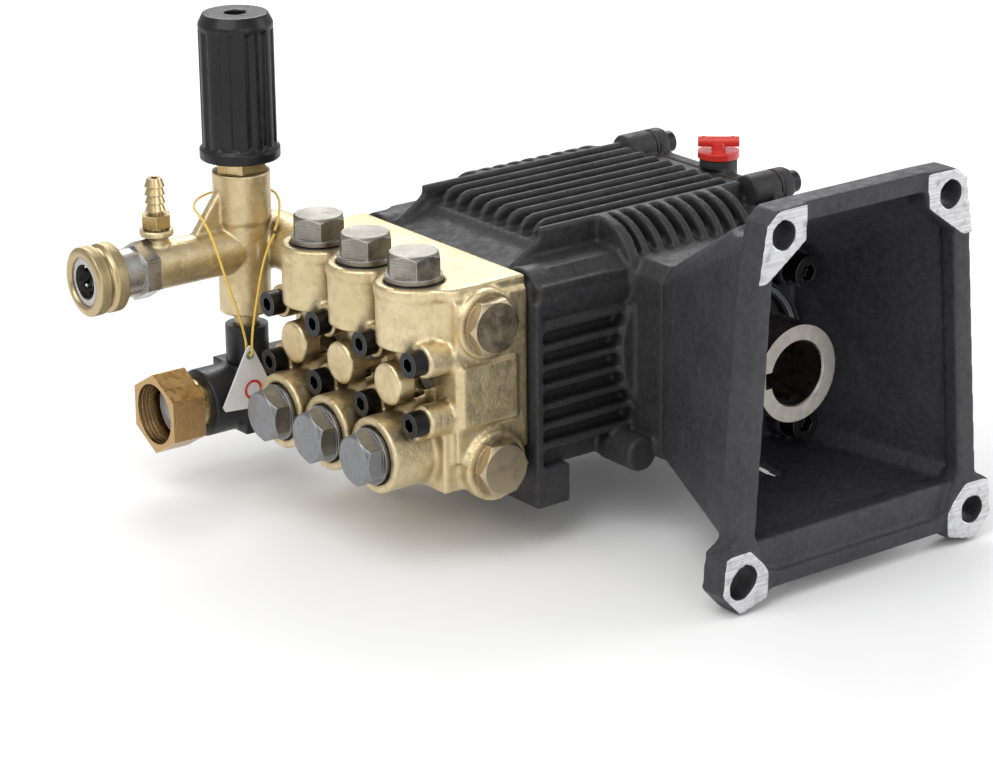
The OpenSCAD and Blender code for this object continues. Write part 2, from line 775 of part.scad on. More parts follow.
module unloader_body() {
  color("#c9a45c") difference() {
    union() {
      zcyl(11.7, 36, hex_z, unl_x, unl_y);
      zcone(10.6, 11.7, 34.6, 36, unl_x, unl_y);
      zcyl(10.6, -3, 35, unl_x, unl_y);
      zcyl(5.2, -12, -2, unl_x, unl_y);
      xcyl(tube_r, tube_end, unl_x, unl_y, tube_z);
      xz_plate([[-124, 52], [-139, 32], [-139, 28], [-120, 28], [-120, 52]], unl_y - 2, unl_y + 2);
      zcyl(4.7, tube_z, 37, barb_x, unl_y);
      zcyl(6.8, 36.2, 39, barb_x, unl_y);
      ycyl(11.5, 2 * mid_y - boss_y, unl_y, outlet_x, outlet_z);
      xcyl(11.5, unl_x, outlet_x, unl_y, outlet_z);
      translate([outlet_x, unl_y, outlet_z]) sphere(r = 11.5);
    }
    zcyl(8, 46, hex_z + 1, unl_x, unl_y);
    zcyl(4.2, 6, 47, unl_x, unl_y);
    zcyl(2.6, -13, 7, unl_x, unl_y);
    xcyl(5, tube_end - 1, unl_x - 6, unl_y, tube_z);
    zcyl(3, tube_z, 40, barb_x, unl_y);
    ycyl(5, 2 * mid_y - boss_y - 1, unl_y, outlet_x, outlet_z);
    xcyl(3.5, unl_x, outlet_x, unl_y - 4, outlet_z);
  }
}

module unloader_gland() {
  color("#c9a45c") translate([unl_x, unl_y, 0]) difference() {
    union() {
      translate([0, 0, hex_z]) hex(19, 5);
      zcyl(9.6, hex_z + 4, gland_top);
    }
    zcyl(8, hex_z - 1, gland_top + 1);
  }
}

module unloader_knob() {
  top = knob_z + knob_h;
  color("#161617") translate([unl_x, unl_y, 0]) {
    difference() {
      union() {
        zcyl(knob_d / 2, knob_z, knob_z + 4.5);
        zcyl(15, knob_z + 4, top - 4);
        zcone(15, 13, top - 4, top);
      }
      zcyl(10, knob_z - 1, top - 20);
      for (k = [1 : knob_flutes]) rotate([0, 0, 360 / knob_flutes * k])
        zcyl(2.2, knob_z + 5.5, top - 6, 16.2, 0);
      translate([0, 0, top - 5]) hex(8, 7);
    }
    zcyl(3.6, plate_z + 4, top - 19);
  }
}

module unloader_spring() {
  color("#b8babd") translate([unl_x, unl_y, 52.4]) valve_spring(6.2, 1.3, plate_z - 52.4, 10);
}

module unloader_spring_plate() {
  color("#a5a7aa") zcyl(7.8, plate_z, plate_z + 4, unl_x, unl_y);
}

module unloader_piston() {
  color("#a5a7aa") {
    zcyl(7.8, 47, 50, unl_x, unl_y);
    zcyl(3.9, 12, 48, unl_x, unl_y);
    zcone(1, 3.9, 7.2, 12, unl_x, unl_y);
  }
}

module hose_barb() {
  color("#d6b368") translate([barb_x, unl_y, 39]) difference() {
    union() {
      cylinder(r = 4.6, h = 1.4);
      translate([0, 0, 1.2]) hex(11, 5);
      cylinder(r = 2.9, h = 9);
      translate([0, 0, -5]) cylinder(r = 2.9, h = 6);
      for (k = [0 : 3]) translate([0, 0, 7.6 + 3.3 * k]) cylinder(r1 = 4.1, r2 = 2.9, h = 3.3);
    }
    translate([0, 0, -6]) cylinder(r = 1.5, h = 30);
  }
}

module coupler_body() {
  x_hex = -166.5;
  color("#8b8d90") difference() {
    union() {
      translate([x_hex, unl_y, tube_z]) rotate([0, 90, 0]) hex(21, tube_end - x_hex);
      xcyl(9.8, coupler_face + 1, x_hex + 1, unl_y, tube_z);
      xcyl(4.9, tube_end - 1, tube_end + 9, unl_y, tube_z);
    }
    xcyl(coupler_bore / 2, coupler_face, x_hex - 4, unl_y, tube_z);
    xcyl(3.5, x_hex - 5, tube_end + 10, unl_y, tube_z);
    for (k = [1 : 6]) translate([0, unl_y, tube_z]) rotate([60 * k, 0, 0])
      zcyl(1.8, 5, 12, coupler_face + 6);
  }
}

module coupler_balls() {
  color("#d8dadb") for (k = [1 : 6]) translate([0, unl_y, tube_z]) rotate([60 * k, 0, 0])
    translate([coupler_face + 6, 0, coupler_bore / 2 + 1.25]) sphere(r = 1.45, $fn = 24);
}

module coupler_sleeve() {
  color("#d2ac5c") difference() {
    union() {
      xcyl(12.9, coupler_face + 1, coupler_face + 14, unl_y, tube_z);
      for (x = [0.5, 8.5]) xcyl(13.9, coupler_face + x, coupler_face + x + 5, unl_y, tube_z);
      xcone(12.6, 13.9, coupler_face, coupler_face + 0.6, unl_y, tube_z);
    }
    xcyl(9.86, coupler_face - 1, coupler_face + 15, unl_y, tube_z);
  }
}

// ---------- Inlet ----------

module bypass_tube() {
  color("#2b2c2f") difference() {
    union() {
      zcyl(8.8, -24, -9, unl_x, unl_y);
      zcyl(6.5, -34, -23, unl_x, unl_y);
    }
    zcyl(5.3, -13, -8, unl_x, unl_y);
    zcyl(3.5, -35, -12, unl_x, unl_y);
  }
}

module inlet_elbow() {
  color("#232426") difference() {
    union() {
      box(-124, -84, unl_y - 12, unl_y + 12, -52, -24.3);
      xcyl(13.9, elbow_face, -120, unl_y, elbow_z);
      ycyl(11.5, 2 * mid_y - boss_y, unl_y, inlet_x, inlet_z);
    }
    zcyl(6.5, -34, -20, unl_x, unl_y);
    zcyl(4, elbow_z, -30, unl_x, unl_y);
    xcyl(8.4, elbow_face - 1, -124, unl_y, elbow_z);
    xcyl(7, -125, inlet_x, unl_y, elbow_z);
    ycyl(6, 2 * mid_y - boss_y - 1, unl_y, inlet_x, inlet_z);
  }
}

module swivel_shank() {
  color("#b28a4a") difference() {
    union() {
      xcyl(8.4, nut_face + 11, -124.5, unl_y, elbow_z);
      xcyl(10.4, -144.8, elbow_face, unl_y, elbow_z);
      xcyl(11.6, nut_face + 10.6, nut_face + 12.2, unl_y, elbow_z);
    }
    xcyl(6.4, -162, -120, unl_y, elbow_z);
  }
}

module swivel_nut() {
  color("#b98f4c") difference() {
    translate([nut_face, unl_y, elbow_z]) rotate([0, 90, 0]) hex(nut_af, nut_len);
    xcyl(nut_bore / 2, nut_face - 1, nut_face + 7, unl_y, elbow_z);
    xcyl(nut_bore / 2 + 0.7, nut_face + 6, nut_face + 12.4, unl_y, elbow_z);
    xcyl(8.5, nut_face, nut_face + nut_len + 1, unl_y, elbow_z);
    for (k = [0 : 2]) xcyl(nut_bore / 2 + 0.7, nut_face + 1.2 + 1.7 * k, nut_face + 2 + 1.7 * k, unl_y, elbow_z);
  }
}

module inlet_filter() {
  color("#9c9ea6") {
    xring(10.8, 7.8, nut_face + 9.4, nut_face + 10.6, unl_y, elbow_z);
    difference() {
      intersection() {
        translate([nut_face + 18.3, unl_y, elbow_z]) sphere(r = 12.1, $fn = 48);
        xcyl(8.2, nut_face + 5, nut_face + 10.6, unl_y, elbow_z);
      }
      translate([nut_face + 18.3, unl_y, elbow_z]) sphere(r = 11.4, $fn = 48);
    }
  }
}

// ---------- Tag ----------

module tag() {
  color("#e9e9ea") difference() {
    xz_plate([[-125, -14], [-123.4, -12.6], [-121.8, -14], [-110.6, -38.4], [-111.6, -40],
              [-136, -38.2], [-137, -36.4]], 227.2, 228);
    ycyl(1.1, 226, 230, -123.6, -16.7);
  }
}

string_sides = 8;

function cross_ring(i) =
  let (n = len(string_route),
       a = string_route[max(i - 1, 0)],
       b = string_route[min(i + 1, n - 1)],
       t = unit(b - a),
       u = unit(cross(t, abs(t[2]) < 0.9 ? [0, 0, 1] : [0, 1, 0])),
       v = cross(t, u))
  [for (k = [0 : string_sides - 1])
     string_route[i] + string_d / 2 * (cos(360 / string_sides * k) * u + sin(360 / string_sides * k) * v)];

module tag_string() {
  n = len(string_route);
  s = string_sides;
  points = [for (i = [0 : n - 1]) each cross_ring(i)];
  sides = [for (i = [0 : n - 2], k = [0 : s - 1])
             [i * s + k, (i + 1) * s + k, (i + 1) * s + (k + 1) % s, i * s + (k + 1) % s]];
  ends = [[for (k = [0 : s - 1]) k], [for (k = [s - 1 : -1 : 0]) (n - 1) * s + k]];
  color("#f0c33a") polyhedron(points, concat(sides, ends), 4);
}

// ---------- Assembly ----------

crankcase();
bell_housing();
rear_cover();
rear_cover_gasket();
far_bearing_cover();
cover_screws();
bell_screws();
sight_glass();
drain_plug();
oil_cap();
crankshaft();
drive_bearing();
far_bearing();
shaft_seal();
seal_retaining_ring();
conrod(0);  // conrod_1
conrod(1);  // conrod_2
conrod(2);  // conrod_3
crosshead(0);  // crosshead_1
crosshead(1);  // crosshead_2
crosshead(2);  // crosshead_3
wrist_pin(0);  // wrist_pin_1
wrist_pin(1);  // wrist_pin_2
wrist_pin(2);  // wrist_pin_3
plunger(0);  // plunger_1
plunger(1);  // plunger_2
plunger(2);  // plunger_3
crosshead_oil_seals();
manifold();
manifold_screws();
plunger_packings();
packing_retainers();
valve_caps();
cap_o_rings();
valve_seats();
valve_springs();
suction_poppet(0);  // suction_poppet_1
suction_poppet(1);  // suction_poppet_2
suction_poppet(2);  // suction_poppet_3
discharge_poppet(0);  // discharge_poppet_1
discharge_poppet(1);  // discharge_poppet_2
discharge_poppet(2);  // discharge_poppet_3
gallery_plugs();
unloader_body();
unloader_gland();
unloader_knob();
unloader_spring();
unloader_piston();
unloader_spring_plate();
bypass_tube();
inlet_elbow();
swivel_shank();
swivel_nut();
inlet_filter();
hose_barb();
coupler_body();
coupler_sleeve();
coupler_balls();
tag();
tag_string();
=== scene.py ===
"""Looks for a three-plunger pressure washer pump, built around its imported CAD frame. Metres, +Z up."""
import json
import math

import bmesh
import bpy
import numpy as np
from mathutils import Matrix, Vector


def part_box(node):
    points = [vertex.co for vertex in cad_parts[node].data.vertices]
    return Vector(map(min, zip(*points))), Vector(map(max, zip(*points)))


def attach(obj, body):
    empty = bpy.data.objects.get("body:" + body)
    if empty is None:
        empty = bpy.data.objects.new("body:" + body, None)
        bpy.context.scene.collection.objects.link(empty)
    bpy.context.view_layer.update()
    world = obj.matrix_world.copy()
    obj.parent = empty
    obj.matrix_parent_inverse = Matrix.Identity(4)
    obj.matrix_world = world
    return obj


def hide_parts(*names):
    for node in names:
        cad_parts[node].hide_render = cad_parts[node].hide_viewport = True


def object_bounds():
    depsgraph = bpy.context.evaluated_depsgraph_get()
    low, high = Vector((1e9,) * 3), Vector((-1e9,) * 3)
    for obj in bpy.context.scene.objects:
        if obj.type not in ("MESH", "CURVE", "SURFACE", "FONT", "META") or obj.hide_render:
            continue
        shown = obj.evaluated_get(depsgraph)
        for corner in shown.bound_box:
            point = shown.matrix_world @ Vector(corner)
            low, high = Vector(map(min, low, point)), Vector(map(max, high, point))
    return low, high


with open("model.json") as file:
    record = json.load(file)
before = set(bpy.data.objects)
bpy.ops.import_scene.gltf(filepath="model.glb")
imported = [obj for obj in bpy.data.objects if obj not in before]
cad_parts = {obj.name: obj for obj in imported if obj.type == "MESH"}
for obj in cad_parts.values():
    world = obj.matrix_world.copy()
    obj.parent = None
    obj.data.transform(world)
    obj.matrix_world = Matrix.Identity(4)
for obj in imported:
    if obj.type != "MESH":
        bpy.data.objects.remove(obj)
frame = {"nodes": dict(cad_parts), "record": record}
cad_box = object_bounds()
nodes = frame["nodes"]
scene = bpy.context.scene

# the cylinders' places in the frame, used to centre the lathe rings on the valve caps
FIRST_CYLINDER, CYLINDER_PITCH = 0.1255, 0.0315
DISCHARGE_IN, SUCTION_DOWN = 0.1145, 0.027
LATHE_RINGS = 5200.0
STROKE = 0.0084

# ---------------------------------------------------------------- camera
AZ, EL, ROLL = (math.radians(a) for a in (-37.0, 19.5, -0.7))
CAMERA_PLACE = Vector((-0.82569, -0.86902, 0.43031))
LENS_MM = 123.76

right = Vector((math.cos(AZ), math.sin(AZ), 0))
back = Vector((math.sin(AZ) * math.cos(EL), -math.cos(AZ) * math.cos(EL), math.sin(EL)))
up = back.cross(right)
cam_x = math.cos(ROLL) * right + math.sin(ROLL) * up
cam_y = -math.sin(ROLL) * right + math.cos(ROLL) * up
cam_data = bpy.data.cameras.new("camera")
cam_data.sensor_width = 36.0
cam_data.sensor_fit = "HORIZONTAL"
cam_data.lens = LENS_MM
cam_data.clip_start = 0.01
cam_data.clip_end = 20
camera = bpy.data.objects.new("camera", cam_data)
rotation = Matrix((cam_x, cam_y, back)).transposed().to_4x4()
camera.matrix_world = Matrix.Translation(CAMERA_PLACE) @ rotation
scene.collection.objects.link(camera)
scene.camera = camera
scene.view_settings.view_transform = "Standard"


# ---------------------------------------------------------------- materials
class Shader:
    """Builds one Principled material from chained nodes, all driven by object coordinates in metres."""

    def __init__(self, name):
        self.mat = bpy.data.materials.new(name)
        self.mat.use_nodes = True
        self.tree = self.mat.node_tree
        self.tree.nodes.clear()
        self.out = self.tree.nodes.new("ShaderNodeOutputMaterial")
        self.bsdf = self.tree.nodes.new("ShaderNodeBsdfPrincipled")
        self.tree.links.new(self.bsdf.outputs[0], self.out.inputs[0])
        self.coord = self.tree.nodes.new("ShaderNodeTexCoord").outputs["Object"]
        self.bump_out = None

    def link(self, value, socket):
        if isinstance(value, bpy.types.NodeSocket):
            self.tree.links.new(value, socket)
        elif value is not None:
            socket.default_value = value

    def add(self, kind, **props):
        node = self.tree.nodes.new(kind)
        for key, value in props.items():
            setattr(node, key, value)
        return node

    def math(self, operation, a, b=None, c=None, clamp=False):
        node = self.add("ShaderNodeMath", operation=operation, use_clamp=clamp)
        for socket, value in zip(node.inputs, (a, b, c)):
            self.link(value, socket)
        return node.outputs[0]

    def axes(self):
        node = self.add("ShaderNodeSeparateXYZ")
        self.link(self.coord, node.inputs[0])
        return node.outputs

    def normal_axes(self):
        node = self.add("ShaderNodeSeparateXYZ")
        self.link(self.add("ShaderNodeNewGeometry").outputs["Normal"], node.inputs[0])
        return node.outputs

    def stretched(self, scale):
        node = self.add("ShaderNodeMapping")
        self.link(self.coord, node.inputs["Vector"])
        node.inputs["Scale"].default_value = scale
        return node.outputs[0]

    def noise(self, scale, detail=4.0, rough=0.55, vector=None):
        node = self.add("ShaderNodeTexNoise")
        self.link(vector or self.coord, node.inputs["Vector"])
        node.inputs["Scale"].default_value = scale
        node.inputs["Detail"].default_value = detail
        node.inputs["Roughness"].default_value = rough
        return node.outputs[0]

    def voronoi(self, scale, vector=None):
        node = self.add("ShaderNodeTexVoronoi")
        self.link(vector or self.coord, node.inputs["Vector"])
        node.inputs["Scale"].default_value = scale
        return node.outputs["Distance"]

    def ramp(self, value, low, high, start=0.35, end=0.65):
        node = self.add("ShaderNodeMapRange", clamp=True)
        self.link(value, node.inputs["Value"])
        for name, number in (("From Min", start), ("From Max", end), ("To Min", low), ("To Max", high)):
            node.inputs[name].default_value = number
        return node.outputs[0]

    def mix(self, factor, a, b):
        node = self.add("ShaderNodeMix", data_type="RGBA")
        self.link(factor, node.inputs[0])
        self.link(a if isinstance(a, bpy.types.NodeSocket) else (*a, 1.0), node.inputs[6])
        self.link(b if isinstance(b, bpy.types.NodeSocket) else (*b, 1.0), node.inputs[7])
        return node.outputs[2]

    def mixf(self, factor, a, b):
        node = self.add("ShaderNodeMix", data_type="FLOAT")
        self.link(factor, node.inputs[0])
        self.link(a, node.inputs[2])
        self.link(b, node.inputs[3])
        return node.outputs[0]

    def edges(self, radius, start=0.02, end=0.16):
        """1 on convex and concave edges, 0 on flats."""
        bevel = self.add("ShaderNodeBevel", samples=6)
        bevel.inputs["Radius"].default_value = radius
        dot = self.add("ShaderNodeVectorMath", operation="DOT_PRODUCT")
        self.link(bevel.outputs[0], dot.inputs[0])
        self.link(self.add("ShaderNodeNewGeometry").outputs["Normal"], dot.inputs[1])
        return self.ramp(self.math("SUBTRACT", 1.0, dot.outputs["Value"]), 0.0, 1.0, start, end)

    def painted_crease_shade(self, distance):
        """Mask for painted shade in creases, from ambient occlusion: 1 in creases, 0 in the open."""
        node = self.add("ShaderNodeAmbientOcclusion", samples=6)
        node.inputs["Distance"].default_value = distance
        return self.ramp(node.outputs["AO"], 1.0, 0.0, 0.25, 0.8)

    def bump(self, height, strength, distance):
        node = self.add("ShaderNodeBump")
        node.inputs["Strength"].default_value = strength
        node.inputs["Distance"].default_value = distance
        self.link(height, node.inputs["Height"])
        if self.bump_out is not None:
            self.link(self.bump_out, node.inputs["Normal"])
        self.bump_out = node.outputs[0]

    def round_edges(self, radius):
        bevel = self.add("ShaderNodeBevel", samples=6)
        bevel.inputs["Radius"].default_value = radius
        self.bump_out = bevel.outputs[0]

    def finish(self, colour, rough, metallic=0.0, **constants):
        self.link(colour if isinstance(colour, bpy.types.NodeSocket) else (*colour, 1.0),
                  self.bsdf.inputs["Base Color"])
        self.link(rough, self.bsdf.inputs["Roughness"])
        self.link(metallic, self.bsdf.inputs["Metallic"])
        for key, value in constants.items():
            self.bsdf.inputs[key.replace("_", " ")].default_value = value
        if self.bump_out is not None:
            self.link(self.bump_out, self.bsdf.inputs["Normal"])
        return self.mat


def powder_coat(name, base, light, pads=False):
    """Satin powder coat over a sand casting, worn pale on its edges."""
    s = Shader(name)
    tone = s.mix(s.ramp(s.noise(38, 5), 0.0, 1.0), base, light)
    tone = s.mix(s.ramp(s.noise(420, 3), 0.0, 0.35), tone, tuple(c * 1.8 for c in light))
    dust = s.math("MULTIPLY", s.ramp(s.noise(900, 2, 0.7), 0.0, 1.0, 0.62, 0.74), 0.10)
    tone = s.mix(dust, tone, (0.34, 0.33, 0.32))
    worn = s.math("MULTIPLY", s.edges(0.0007), s.ramp(s.noise(160, 6), 0.05, 0.50, 0.42, 0.66))
    tone = s.mix(worn, tone, (0.22, 0.22, 0.23))
    # painted shade: creases and hollows darkened nearly to black, from ambient occlusion
    tone = s.mix(s.math("MULTIPLY", s.painted_crease_shade(0.006), 0.75), tone, (0.004, 0.004, 0.005))
    rough = s.ramp(s.noise(260, 4), 0.44, 0.60)
    s.round_edges(0.0006)
    s.bump(s.noise(1500, 3, 0.6), 0.30, 0.00030)
    s.bump(s.noise(190, 3, 0.5), 0.28, 0.0010)
    metal = 0.0
    if pads:
        x, y, z = s.axes()
        face = s.math("LESS_THAN", s.normal_axes()[1], -0.80)
        pad = s.math("MULTIPLY", face, s.math("LESS_THAN", y, 0.0004))
        lines = s.noise(900, 2, 0.5, s.stretched((0.06, 1.0, 1.4)))
        bright = s.mix(s.ramp(lines, 0.0, 1.0), (0.50, 0.50, 0.52), (0.70, 0.70, 0.71))
        bright = s.mix(s.ramp(s.noise(240, 5), 0.0, 0.7, 0.52, 0.68), bright, (0.26, 0.26, 0.28))
        tone = s.mix(pad, tone, bright)
        rough = s.mixf(pad, rough, 0.36)
        metal = s.mixf(pad, 0.0, 0.55)
    return s.finish(tone, rough, metal, Specular_IOR_Level=0.36)


def cast_brass(name, base, deep, bright):
    s = Shader(name)
    tone = s.mix(s.ramp(s.noise(30, 5), 0.0, 1.0), base, bright)
    tone = s.mix(s.ramp(s.noise(240, 5, 0.6), 0.0, 0.55, 0.45, 0.75), tone, deep)
    worn = s.math("MULTIPLY", s.edges(0.0009), 0.55)
    tone = s.mix(worn, tone, (0.90, 0.82, 0.62))
    # painted shade: dark brown in creases and hollows, from ambient occlusion
    tone = s.mix(s.math("MULTIPLY", s.painted_crease_shade(0.009), 0.8), tone, (0.085, 0.055, 0.022))
    rough = s.ramp(s.noise(340, 4), 0.30, 0.46)
    s.round_edges(0.0007)
    s.bump(s.noise(850, 4, 0.65), 0.38, 0.00045)
    s.bump(s.voronoi(700), 0.12, 0.0004)
    s.bump(s.noise(120, 3), 0.25, 0.0012)
    return s.finish(tone, rough, 0.92)


def turned_metal(name, base, dark, rough_low=0.2, rough_high=0.36, axis=0, scratch=0.35,
                 edge=(0.9, 0.9, 0.9)):
    """Machined metal with fine lines running round one axis."""
    s = Shader(name)
    squeeze = [60.0, 60.0, 60.0]
    squeeze[axis] = 1100.0
    lines = s.noise(1.0, 3, 0.6, s.stretched(tuple(squeeze)))
    tone = s.mix(s.ramp(s.noise(60, 5), 0.0, 0.6, 0.2, 0.8), base, dark)
    tone = s.mix(s.ramp(lines, 0.0, 0.30, 0.2, 0.8), tone, tuple(c * 0.62 for c in base))
    tone = s.mix(s.math("MULTIPLY", s.edges(0.0004), 0.5), tone, edge)
    # painted shade: darkened in creases and hollows, from ambient occlusion
    tone = s.mix(s.math("MULTIPLY", s.painted_crease_shade(0.003), 0.55), tone, tuple(c * 0.16 for c in dark))
    rough = s.ramp(s.noise(300, 4), rough_low, rough_high)
    s.round_edges(0.0003)
    s.bump(lines, scratch, 0.00012)
    s.bump(s.noise(700, 3), 0.08, 0.0003)
    return s.finish(tone, rough, 1.0)


def cap_metal(name, base, dark):
    """Dull plated hexagons, faced on a lathe: rings round each cap's own axis."""
    s = Shader(name)
    x, y, z = s.axes()
    n = s.normal_axes()
    # distance along Y from the nearest cylinder
    dy = s.math("PINGPONG", s.math("SUBTRACT", y, FIRST_CYLINDER), CYLINDER_PITCH / 2)
    # the suction caps face -X, the discharge caps face +Z
    sx = s.math("LESS_THAN", n[0], -0.7)
    across = s.mixf(sx, s.math("ADD", x, DISCHARGE_IN), s.math("ADD", z, SUCTION_DOWN))
    radius = s.math("SQRT", s.math("ADD", s.math("MULTIPLY", dy, dy), s.math("MULTIPLY", across, across)))
    rings = s.math("SINE", s.math("MULTIPLY", radius, LATHE_RINGS))
    end = s.math("MAXIMUM", sx, s.math("GREATER_THAN", n[2], 0.7))
    tone = s.mix(s.ramp(s.noise(70, 5), 0.0, 1.0), base, dark)
    # painted shade: the caps below z = 0, the suction caps facing the front, are painted a darker, cooler
    # grey than the top caps
    tone = s.mix(s.math("MULTIPLY", s.math("LESS_THAN", z, 0.0), 0.85), tone, (0.235, 0.245, 0.265))
    tone = s.mix(s.ramp(s.noise(520, 5, 0.7), 0.0, 0.45, 0.5, 0.8), tone, tuple(c * 0.45 for c in dark))
    tone = s.mix(s.math("MULTIPLY", s.edges(0.0006), 0.6), tone, (0.70, 0.69, 0.66))
    # painted shade: darkened in creases and hollows, from ambient occlusion
    tone = s.mix(s.math("MULTIPLY", s.painted_crease_shade(0.004), 0.6), tone, (0.05, 0.045, 0.04))
    rough = s.ramp(s.noise(300, 4), 0.26, 0.44)
    s.round_edges(0.0004)
    s.bump(s.math("MULTIPLY", rings, end), 0.30, 0.00010)
    s.bump(s.noise(900, 3), 0.14, 0.0003)
    return s.finish(tone, rough, 1.0)


def moulded(name, base, light, rough_low, rough_high, grain=1400, edge=0.25, **constants):
    s = Shader(name)
    tone = s.mix(s.ramp(s.noise(45, 5), 0.0, 1.0), base, light)
    worn = tuple(min(1, c * 3 + 0.06) for c in light)
    tone = s.mix(s.math("MULTIPLY", s.edges(0.0005), edge), tone, worn)
    # painted shade: darkened in creases and hollows, from ambient occlusion
    tone = s.mix(s.math("MULTIPLY", s.painted_crease_shade(0.003), 0.4), tone, tuple(c * 0.35 for c in base))
    rough = s.ramp(s.noise(260, 4), rough_low, rough_high)
    s.round_edges(0.0004)
    s.bump(s.noise(grain, 3, 0.6), 0.16, 0.0002)
    return s.finish(tone, rough, 0.0, **constants)


def mesh_filter(name):
    s = Shader(name)
    x, y, z = s.axes()
    wires = []
    for value in (y, z):
        wave = s.math("SINE", s.math("MULTIPLY", value, 2 * math.pi / 0.00085))
        wires.append(s.ramp(wave, 0.0, 1.0, -0.25, 0.55))
    grid = s.math("MAXIMUM", wires[0], wires[1])
    # painted shade: the gaps between the wires are painted near black in place of shaded openings
    tone = s.mix(grid, (0.035, 0.035, 0.04), (0.56, 0.56, 0.60))
    tone = s.mix(s.ramp(s.noise(120, 4), 0.0, 0.4), tone, (0.30, 0.29, 0.28))
    s.bump(grid, 0.8, 0.0004)
    return s.finish(tone, s.ramp(s.noise(200, 3), 0.40, 0.60), 0.35)


def card(name):
    """Coated card with one plain red ring printed on it."""
    s = Shader(name)
    x, y, z = s.axes()
    dx, dz = s.math("ADD", x, 0.1225), s.math("ADD", z, 0.0315)
    radius = s.math("SQRT", s.math("ADD", s.math("MULTIPLY", dx, dx), s.math("MULTIPLY", dz, dz)))
    ring = s.math("LESS_THAN", s.math("ABSOLUTE", s.math("SUBTRACT", radius, 0.0036)), 0.0006)
    tone = s.mix(s.ramp(s.noise(90, 4), 0.0, 1.0), (0.66, 0.66, 0.67), (0.76, 0.76, 0.76))
    tone = s.mix(ring, tone, (0.62, 0.035, 0.03))
    # painted shade: greyed in creases, from ambient occlusion
    tone = s.mix(s.math("MULTIPLY", s.painted_crease_shade(0.003), 0.3), tone, (0.45, 0.44, 0.42))
    s.bump(s.noise(1800, 3), 0.1, 0.0001)
    return s.finish(tone, s.ramp(s.noise(200, 3), 0.34, 0.5))


def twisted_cord(name):
    s = Shader(name)
    tone = s.mix(s.ramp(s.noise(900, 3), 0.0, 1.0), (0.86, 0.55, 0.05), (0.95, 0.70, 0.14))
    twist = s.math("SINE", s.math("MULTIPLY", s.math("ADD", s.axes()[2], s.axes()[0]), 5200.0))
    # painted shade: darker in the grooves between the twisted strands
    tone = s.mix(s.ramp(twist, 0.35, 0.0, -1.0, 0.2), tone, (0.45, 0.25, 0.02))
    s.bump(twist, 0.5, 0.0003)
    return s.finish(tone, s.ramp(s.noise(400, 3), 0.62, 0.85), Sheen_Weight=0.3)


MATERIALS = {
    "crankcase": powder_coat("m_crankcase", (0.017, 0.017, 0.018), (0.029, 0.029, 0.031)),
    "bell": powder_coat("m_bell", (0.021, 0.021, 0.025), (0.034, 0.034, 0.040), pads=True),
    "cover": powder_coat("m_cover", (0.018, 0.018, 0.019), (0.030, 0.030, 0.033)),
    "gasket": moulded("m_gasket", (0.035, 0.028, 0.02), (0.06, 0.048, 0.035), 0.7, 0.9),
    "steel": turned_metal("m_steel", (0.52, 0.52, 0.53), (0.36, 0.36, 0.37), 0.22, 0.38),
    "black_screw": turned_metal("m_black_screw", (0.050, 0.050, 0.053), (0.028, 0.028, 0.030), 0.30, 0.46,
                                edge=(0.30, 0.30, 0.31)),
    "sight": moulded("m_sight", (0.72, 0.50, 0.16), (0.84, 0.64, 0.28), 0.05, 0.14, Transmission_Weight=0.5,
                     Coat_Weight=0.4),
    "brass": cast_brass("m_brass", (0.62, 0.50, 0.29), (0.38, 0.28, 0.13), (0.76, 0.64, 0.41)),
    "brass_turned": turned_metal("m_brass_turned", (0.66, 0.52, 0.29), (0.44, 0.33, 0.16), 0.18, 0.34,
                                 edge=(0.94, 0.85, 0.62)),
    "red_plastic": moulded("m_red", (0.60, 0.025, 0.020), (0.72, 0.05, 0.035), 0.18, 0.32, Coat_Weight=0.3),
    "shaft_steel": turned_metal("m_shaft", (0.40, 0.37, 0.34), (0.25, 0.23, 0.21), 0.26, 0.44, axis=1),
    "bearing_steel": turned_metal("m_bearing", (0.76, 0.77, 0.78), (0.60, 0.61, 0.63), 0.08, 0.2),
    "seal_rubber": moulded("m_seal", (0.014, 0.014, 0.015), (0.024, 0.024, 0.026), 0.42, 0.62),
    "rod_alloy": turned_metal("m_rod", (0.66, 0.67, 0.68), (0.50, 0.51, 0.52), 0.3, 0.5),
    "ceramic": moulded("m_ceramic", (0.84, 0.81, 0.73), (0.92, 0.90, 0.84), 0.08, 0.18, Coat_Weight=0.4),
    "cap_steel": cap_metal("m_cap", (0.36, 0.335, 0.295), (0.24, 0.222, 0.195)),
    "black_plastic": moulded("m_knob", (0.004, 0.004, 0.0045), (0.008, 0.008, 0.009), 0.26, 0.40,
                              Specular_IOR_Level=0.34),
    "black_metal": moulded("m_black_metal", (0.009, 0.009, 0.011), (0.017, 0.017, 0.020), 0.28, 0.46,
                            Specular_IOR_Level=0.4),
    "mesh_plastic": mesh_filter("m_filter"),
    "tag_card": card("m_tag"),
    "string": twisted_cord("m_string"),
}
MATERIALS["hex_steel"] = turned_metal("m_hex_steel", (0.56, 0.55, 0.53), (0.38, 0.37, 0.35), 0.22, 0.4)
MATERIALS["gallery"] = turned_metal("m_gallery", (0.56, 0.46, 0.32), (0.40, 0.32, 0.21), 0.26, 0.42,
                                    axis=1, edge=(0.92, 0.82, 0.62))
MATERIALS["nut_brass"] = turned_metal("m_nut", (0.56, 0.37, 0.17), (0.40, 0.25, 0.10), 0.22, 0.38,
                                      edge=(0.92, 0.74, 0.46))

MATERIALS["sleeve_brass"] = turned_metal("m_sleeve", (0.60, 0.48, 0.28), (0.42, 0.32, 0.17), 0.26, 0.40,
                                         scratch=0.15, edge=(0.92, 0.82, 0.60))

